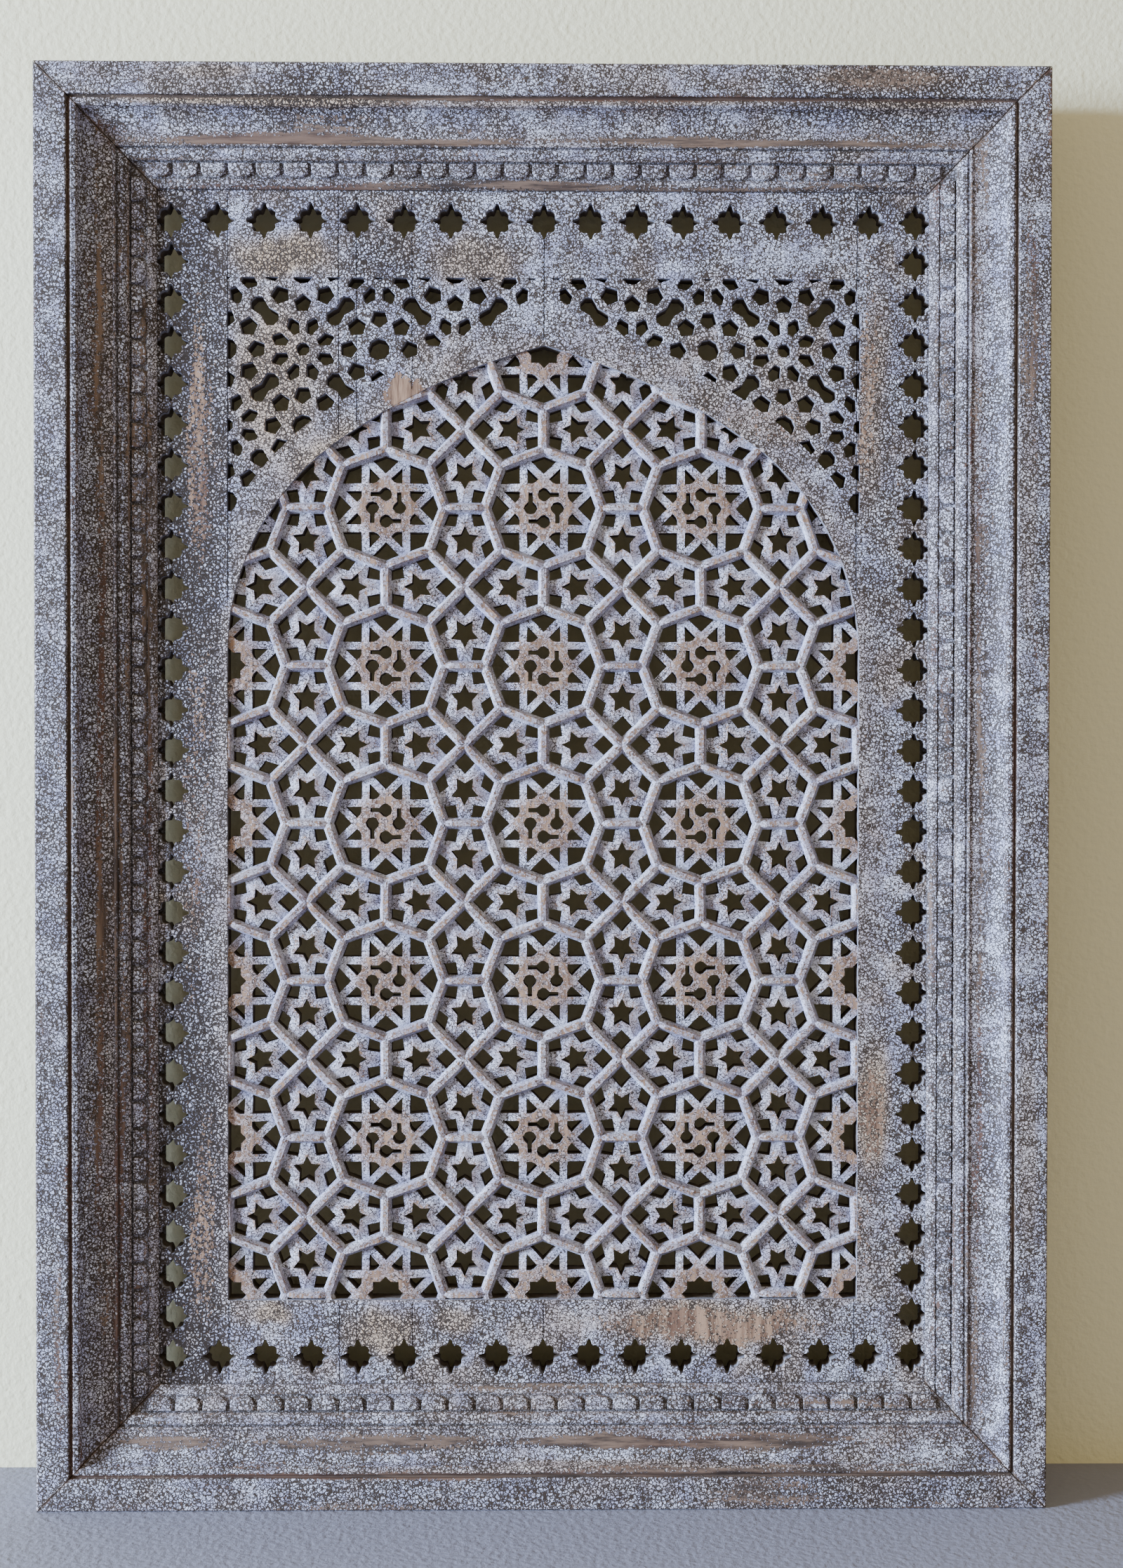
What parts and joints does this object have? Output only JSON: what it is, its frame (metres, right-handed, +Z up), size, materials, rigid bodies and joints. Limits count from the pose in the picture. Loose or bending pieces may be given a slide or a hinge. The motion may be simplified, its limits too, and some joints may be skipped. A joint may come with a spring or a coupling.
{
  "type": "carved panel",
  "caption": "Carved and pierced wooden jali wall panel: arched lattice field in a board, held in a deep mitred moulded frame.",
  "frame": {"origin": "middle of the top rail's back face, where the panel is fixed to a wall", "axes": "+Z up, +Y out of the back towards the wall, +X to the right seen from the carved front"},
  "size_m": [0.915, 0.07, 1.305],
  "materials": {
    "painted_frame": "blue-grey paint, crackled and rubbed through to brown wood on the edges",
    "painted_panel": "light blue-grey paint, finely crackled, worn to bare wood on the ribs"
  },
  "bodies": {
    "root": {"frame_top_rail": "painted_frame", "frame_bottom_rail": "painted_frame", "frame_left_stile": "painted_frame", "frame_right_stile": "painted_frame", "jali_panel": "painted_panel"}
  },
  "joints": []
}
